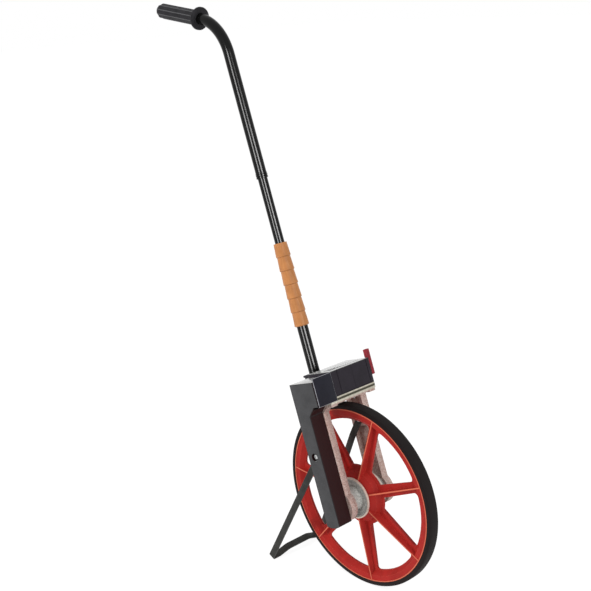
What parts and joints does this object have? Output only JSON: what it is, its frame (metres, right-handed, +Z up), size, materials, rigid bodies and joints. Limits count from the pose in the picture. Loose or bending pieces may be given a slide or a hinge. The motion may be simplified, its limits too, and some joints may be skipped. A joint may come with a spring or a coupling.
{
  "type": "measuring wheel",
  "caption": "Wheel on a leaning cast fork with a belt-driven drum counter, reset lever, folding stand and a telescoping bent handle with sliding sleeve and grip.",
  "frame": {"origin": "centre of the whole object's box, on the ground plane that the tyre and the stand's foot rest on", "axes": "+Z up, +X the way the wheel is pushed, -Y the side of the drive cover"},
  "size_m": [0.6056, 0.1424, 0.9661],
  "materials": {
    "red_plastic": "satin moulded plastic",
    "lever_plastic": "satin moulded plastic",
    "tyre_rubber": "matt rubber",
    "cast_aluminium": "rough cast",
    "bright_steel": "bright zinc",
    "black_steel": "satin black",
    "cover_plastic": "fine textured plastic",
    "black_enamel": "gloss black enamel",
    "grip_vinyl": "soft vinyl",
    "orange_plastic": "matt moulded plastic",
    "belt_rubber": "smooth rubber",
    "drum_plastic": "moulded plastic",
    "clear_plastic": "clear"
  },
  "bodies": {
    "frame": {"fork_leg_near": "cast_aluminium", "fork_leg_far": "cast_aluminium", "fork_bridge": "cast_aluminium", "frame_screw_1": "bright_steel", "frame_screw_2": "bright_steel", "frame_screw_3": "bright_steel", "frame_screw_4": "bright_steel", "axle_bearing_near": "bright_steel", "axle_bearing_far": "bright_steel", "drive_belt": "belt_rubber", "drive_cover": "cover_plastic", "cover_screw": "bright_steel", "cover_fascia": "cover_plastic", "counter_base": "bright_steel", "counter_housing": "cover_plastic", "counter_window": "clear_plastic", "counter_frame_near": "bright_steel", "counter_frame_far": "bright_steel", "pinion_shaft": "bright_steel", "handle_socket": "cover_plastic", "socket_screw_1": "bright_steel", "socket_screw_2": "bright_steel", "socket_screw_3": "bright_steel", "socket_screw_4": "bright_steel", "socket_bolt": "bright_steel", "socket_nut": "bright_steel", "lower_tube": "black_enamel", "stand_pivot_screw_near": "bright_steel", "stand_pivot_screw_far": "bright_steel", "lever_screw": "bright_steel"},
    "road_wheel": {"wheel": "red_plastic", "tyre": "tyre_rubber", "axle": "bright_steel", "axle_spacer_near": "bright_steel", "axle_spacer_far": "bright_steel", "axle_washer": "bright_steel", "axle_nut": "bright_steel", "drive_pulley": "bright_steel", "pulley_screw": "bright_steel"},
    "input_drive": {"input_shaft": "bright_steel", "counter_pulley": "bright_steel", "input_gear": "bright_steel"},
    "counter_drive": {"counter_shaft": "bright_steel", "counter_gear": "bright_steel", "number_drum_1": "drum_plastic"},
    "drum_2": {"number_drum_2": "drum_plastic"},
    "drum_3": {"number_drum_3": "drum_plastic"},
    "drum_4": {"number_drum_4": "drum_plastic"},
    "drum_5": {"number_drum_5": "drum_plastic"},
    "pinion_1": {"transfer_pinion_1": "drum_plastic"},
    "pinion_2": {"transfer_pinion_2": "drum_plastic"},
    "pinion_3": {"transfer_pinion_3": "drum_plastic"},
    "pinion_4": {"transfer_pinion_4": "drum_plastic"},
    "reset": {"reset_lever": "lever_plastic"},
    "kickstand": {"stand": "black_steel"},
    "sleeve": {"locking_sleeve": "orange_plastic"},
    "handle": {"middle_tube": "black_enamel", "tube_collar": "black_enamel", "upper_tube": "black_enamel", "grip": "grip_vinyl"}
  },
  "joints": [
    {"name": "wheel_spin", "type": "hinge", "parent": "frame", "child": "road_wheel", "pos_m": [0.14368, 0.00833, 0.15915], "axis": [0, 1, 0], "continuous": true},
    {"name": "input_spin", "type": "hinge", "parent": "frame", "child": "input_drive", "pos_m": [0.0903, 0.00833, 0.34154], "axis": [0, 1, 0], "continuous": true},
    {"name": "counter_spin", "type": "hinge", "parent": "frame", "child": "counter_drive", "pos_m": [0.10815, 0.00833, 0.35447], "axis": [0, 1, 0], "continuous": true},
    {"name": "drum_2_spin", "type": "hinge", "parent": "frame", "child": "drum_2", "pos_m": [0.10815, 0.00833, 0.35447], "axis": [0, 1, 0], "continuous": true},
    {"name": "drum_3_spin", "type": "hinge", "parent": "frame", "child": "drum_3", "pos_m": [0.10815, 0.00833, 0.35447], "axis": [0, 1, 0], "continuous": true},
    {"name": "drum_4_spin", "type": "hinge", "parent": "frame", "child": "drum_4", "pos_m": [0.10815, 0.00833, 0.35447], "axis": [0, 1, 0], "continuous": true},
    {"name": "drum_5_spin", "type": "hinge", "parent": "frame", "child": "drum_5", "pos_m": [0.10815, 0.00833, 0.35447], "axis": [0, 1, 0], "continuous": true},
    {"name": "pinion_1_spin", "type": "hinge", "parent": "frame", "child": "pinion_1", "pos_m": [0.10361, 0.00833, 0.33417], "axis": [0, 1, 0], "continuous": true},
    {"name": "pinion_2_spin", "type": "hinge", "parent": "frame", "child": "pinion_2", "pos_m": [0.10361, 0.00833, 0.33417], "axis": [0, 1, 0], "continuous": true},
    {"name": "pinion_3_spin", "type": "hinge", "parent": "frame", "child": "pinion_3", "pos_m": [0.10361, 0.00833, 0.33417], "axis": [0, 1, 0], "continuous": true},
    {"name": "pinion_4_spin", "type": "hinge", "parent": "frame", "child": "pinion_4", "pos_m": [0.10361, 0.00833, 0.33417], "axis": [0, 1, 0], "continuous": true},
    {"name": "reset_press", "type": "hinge", "parent": "frame", "child": "reset", "pos_m": [0.10815, 0.00833, 0.35447], "axis": [0, 1, 0], "range_deg": [-40, 0], "stiffness_Nm_per_rad": 0.05},
    {"name": "stand_fold", "type": "hinge", "parent": "frame", "child": "kickstand", "pos_m": [0.11161, 0.00833, 0.27487], "axis": [0, 1, 0], "range_deg": [0, 98]},
    {"name": "sleeve_slide", "type": "slide", "parent": "frame", "child": "sleeve", "axis": [-0.299, 0, 0.9542], "range_m": [0, 0.1]},
    {"name": "handle_extend", "type": "slide", "parent": "frame", "child": "handle", "axis": [-0.299, 0, 0.9542], "range_m": [0, 0.09]}
  ],
  "couplings": [
    {"joint": "input_spin", "follows": "wheel_spin", "ratio": 1},
    {"joint": "counter_spin", "follows": "wheel_spin", "ratio": -1},
    {"joint": "drum_2_spin", "follows": "wheel_spin", "ratio": -0.1},
    {"joint": "drum_3_spin", "follows": "wheel_spin", "ratio": -0.01},
    {"joint": "drum_4_spin", "follows": "wheel_spin", "ratio": -0.001},
    {"joint": "drum_5_spin", "follows": "wheel_spin", "ratio": -0.0001},
    {"joint": "pinion_1_spin", "follows": "wheel_spin", "ratio": 0.25},
    {"joint": "pinion_2_spin", "follows": "wheel_spin", "ratio": 0.025},
    {"joint": "pinion_3_spin", "follows": "wheel_spin", "ratio": 0.0025},
    {"joint": "pinion_4_spin", "follows": "wheel_spin", "ratio": 0.00025}
  ]
}
